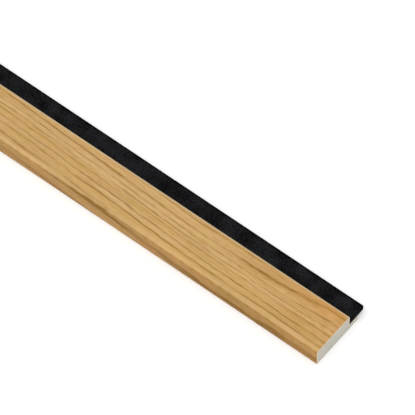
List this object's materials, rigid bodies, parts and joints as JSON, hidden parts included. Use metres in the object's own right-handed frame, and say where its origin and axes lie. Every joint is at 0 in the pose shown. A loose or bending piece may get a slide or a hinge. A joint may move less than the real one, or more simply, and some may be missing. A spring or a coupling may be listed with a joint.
{
  "type": "acoustic panel end trim",
  "caption": "Straight end trim for slatted acoustic wall panels: an oak-wrapped slat with a black felt strip on a low ledge.",
  "frame": {"origin": "middle of the length and of the overall width, on the underside that is bonded to the wall", "axes": "+X along the trim, +Y across it from the oak outer side to the free edge of the felt, +Z out from the wall face to the oak face"},
  "size_m": [2.4, 0.04, 0.012],
  "materials": {
    "core": "foamed moulding, sawn ends",
    "oak": "matt lacquered oak veneer",
    "felt": "pressed polyester felt"
  },
  "bodies": {
    "root": {"core_board": "core", "oak_wrap": "oak", "felt_strip": "felt"}
  },
  "joints": []
}
